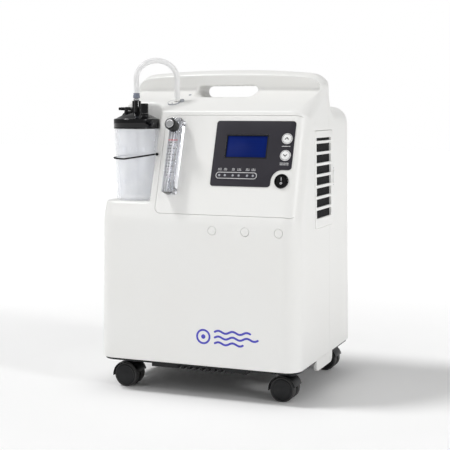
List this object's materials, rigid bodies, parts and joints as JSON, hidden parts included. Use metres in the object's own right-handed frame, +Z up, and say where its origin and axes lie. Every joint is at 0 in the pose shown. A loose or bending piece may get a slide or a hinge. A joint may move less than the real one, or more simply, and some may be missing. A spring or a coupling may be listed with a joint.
{
  "type": "oxygen concentrator",
  "caption": "Wheeled bedside oxygen concentrator with a sloping control panel, flowmeter, lift-out humidifier bottle, arching hose, filter door and carrying handle.",
  "frame": {"origin": "on the floor, under the middle of the whole outline", "axes": "+Z up, the control panel faces -Y, +X to the right of someone looking at the panel"},
  "size_m": [0.3963, 0.3618, 0.622],
  "materials": {
    "white_case": "fine satin moulded ABS",
    "grey_trim": "satin",
    "black_plastic": "smooth moulded",
    "panel_film": "printed polyester film",
    "display": "clear window over a blue display",
    "clear_acrylic": "polished clear acrylic",
    "frosted_bottle": "frosted polypropylene",
    "silicone": "translucent white silicone",
    "elastic": "braided elastic",
    "chrome_cap": "polished",
    "steel": "bare sheet",
    "aluminium": "satin",
    "filter_foam": "open-cell foam",
    "circuit_board": "solder mask"
  },
  "bodies": {
    "cabinet": {"front_shell": "white_case", "rear_shell": "white_case", "base_tray": "black_plastic", "base_vent": "black_plastic", "control_fascia": "white_case", "exhaust_cover": "white_case", "screw_plug_1": "white_case", "screw_plug_2": "white_case", "screw_plug_3": "white_case", "display_overlay": "panel_film", "lcd_window": "display", "led_bar": "panel_film", "switch_bezel": "black_plastic", "flowmeter_block": "clear_acrylic", "flow_seat": "grey_trim", "outlet_flange": "white_case", "ledge_screw": "grey_trim", "jar_strap": "elastic", "strap_knob": "elastic", "strap_hook": "elastic", "power_inlet": "black_plastic", "compressor": "aluminium", "sieve_tower_1": "aluminium", "sieve_tower_2": "aluminium", "product_tank": "aluminium", "valve_manifold": "aluminium", "chassis_frame": "steel", "fan_frame": "black_plastic", "control_board": "circuit_board", "intake_silencer": "black_plastic"},
    "filter_door": {"filter_door": "white_case", "filter_foam": "filter_foam"},
    "door_latch": {"door_latch": "grey_trim"},
    "button_up": {"button_up": "grey_trim"},
    "button_down": {"button_down": "grey_trim"},
    "switch_rocker": {"switch_rocker": "black_plastic"},
    "flow_knob": {"flow_knob": "black_plastic", "knob_cap": "chrome_cap"},
    "flow_float": {"flow_float": "steel"},
    "humidifier_bottle": {"humidifier_jar": "frosted_bottle"},
    "inlet_swivel": {"inlet_nut": "grey_trim", "oxygen_hose": "silicone"},
    "humidifier_cap": {"humidifier_lid": "black_plastic", "relief_cap": "black_plastic", "dip_tube": "silicone"},
    "fan_rotor": {"fan_rotor": "black_plastic"},
    "caster_front_left": {"caster_hood_front_left": "black_plastic"},
    "wheel_front_left_a": {"caster_wheel_front_left_a": "black_plastic"},
    "wheel_front_left_b": {"caster_wheel_front_left_b": "black_plastic"},
    "caster_front_right": {"caster_hood_front_right": "black_plastic"},
    "wheel_front_right_a": {"caster_wheel_front_right_a": "black_plastic"},
    "wheel_front_right_b": {"caster_wheel_front_right_b": "black_plastic"},
    "caster_rear_left": {"caster_hood_rear_left": "black_plastic"},
    "wheel_rear_left_a": {"caster_wheel_rear_left_a": "black_plastic"},
    "wheel_rear_left_b": {"caster_wheel_rear_left_b": "black_plastic"},
    "caster_rear_right": {"caster_hood_rear_right": "black_plastic"},
    "wheel_rear_right_a": {"caster_wheel_rear_right_a": "black_plastic"},
    "wheel_rear_right_b": {"caster_wheel_rear_right_b": "black_plastic"}
  },
  "joints": [
    {"name": "caster_swivel_front_left", "type": "hinge", "parent": "cabinet", "child": "caster_front_left", "pos_m": [-0.147, -0.12264, 0.04], "axis": [0, 0, 1], "continuous": true},
    {"name": "wheel_spin_front_left_a", "type": "hinge", "parent": "caster_front_left", "child": "wheel_front_left_a", "pos_m": [-0.157, -0.12264, 0.023], "axis": [0, 1, 0], "continuous": true},
    {"name": "wheel_spin_front_left_b", "type": "hinge", "parent": "caster_front_left", "child": "wheel_front_left_b", "pos_m": [-0.157, -0.12264, 0.023], "axis": [0, 1, 0], "continuous": true},
    {"name": "caster_swivel_front_right", "type": "hinge", "parent": "cabinet", "child": "caster_front_right", "pos_m": [0.167, -0.12264, 0.04], "axis": [0, 0, 1], "continuous": true},
    {"name": "wheel_spin_front_right_a", "type": "hinge", "parent": "caster_front_right", "child": "wheel_front_right_a", "pos_m": [0.157, -0.12264, 0.023], "axis": [0, 1, 0], "continuous": true},
    {"name": "wheel_spin_front_right_b", "type": "hinge", "parent": "caster_front_right", "child": "wheel_front_right_b", "pos_m": [0.157, -0.12264, 0.023], "axis": [0, 1, 0], "continuous": true},
    {"name": "caster_swivel_rear_left", "type": "hinge", "parent": "cabinet", "child": "caster_rear_left", "pos_m": [-0.147, 0.14236, 0.04], "axis": [0, 0, 1], "continuous": true},
    {"name": "wheel_spin_rear_left_a", "type": "hinge", "parent": "caster_rear_left", "child": "wheel_rear_left_a", "pos_m": [-0.157, 0.14236, 0.023], "axis": [0, 1, 0], "continuous": true},
    {"name": "wheel_spin_rear_left_b", "type": "hinge", "parent": "caster_rear_left", "child": "wheel_rear_left_b", "pos_m": [-0.157, 0.14236, 0.023], "axis": [0, 1, 0], "continuous": true},
    {"name": "caster_swivel_rear_right", "type": "hinge", "parent": "cabinet", "child": "caster_rear_right", "pos_m": [0.167, 0.14236, 0.04], "axis": [0, 0, 1], "continuous": true},
    {"name": "wheel_spin_rear_right_a", "type": "hinge", "parent": "caster_rear_right", "child": "wheel_rear_right_a", "pos_m": [0.157, 0.14236, 0.023], "axis": [0, 1, 0], "continuous": true},
    {"name": "wheel_spin_rear_right_b", "type": "hinge", "parent": "caster_rear_right", "child": "wheel_rear_right_b", "pos_m": [0.157, 0.14236, 0.023], "axis": [0, 1, 0], "continuous": true},
    {"name": "button_up_press", "type": "slide", "parent": "cabinet", "child": "button_up", "axis": [0, 0.9482, -0.3177], "range_m": [0, 0.001], "stiffness_N_per_m": 500, "springref_m": -0.0004},
    {"name": "button_down_press", "type": "slide", "parent": "cabinet", "child": "button_down", "axis": [0, 0.9482, -0.3177], "range_m": [0, 0.001], "stiffness_N_per_m": 500, "springref_m": -0.0004},
    {"name": "switch_rock", "type": "hinge", "parent": "cabinet", "child": "switch_rocker", "pos_m": [0.157, -0.14917, 0.3999], "axis": [1, 0, 0], "range_deg": [0, 14]},
    {"name": "flow_knob_turn", "type": "hinge", "parent": "cabinet", "child": "flow_knob", "pos_m": [-0.0525, -0.14211, 0.49403], "axis": [0, -0.9482, 0.3177], "range_deg": [0, 1080]},
    {"name": "flow_float_rise", "type": "slide", "parent": "cabinet", "child": "flow_float", "axis": [0, 0.3177, 0.9482], "range_m": [0, 0.085]},
    {"name": "bottle_lift", "type": "slide", "parent": "cabinet", "child": "humidifier_bottle", "axis": [0, 0, 1], "range_m": [0, 0.17]},
    {"name": "lid_rise", "type": "slide", "parent": "humidifier_bottle", "child": "inlet_swivel", "axis": [0, 0, 1], "range_m": [0, 0.0046]},
    {"name": "lid_unscrew", "type": "hinge", "parent": "inlet_swivel", "child": "humidifier_cap", "pos_m": [-0.1405, -0.11814, 0.4902], "axis": [0, 0, 1], "range_deg": [0, 540]},
    {"name": "filter_door_pull", "type": "slide", "parent": "cabinet", "child": "filter_door", "axis": [1, 0, 0], "range_m": [0, 0.03]},
    {"name": "door_latch_slide", "type": "slide", "parent": "cabinet", "child": "door_latch", "axis": [0, 1, 0], "range_m": [0, 0.004]},
    {"name": "fan_spin", "type": "hinge", "parent": "cabinet", "child": "fan_rotor", "pos_m": [0.045, 0.00336, 0.2497], "axis": [0, 0, 1], "continuous": true}
  ],
  "couplings": [
    {"joint": "lid_rise", "follows": "lid_unscrew", "m_per_rad": 0.00047746}
  ]
}
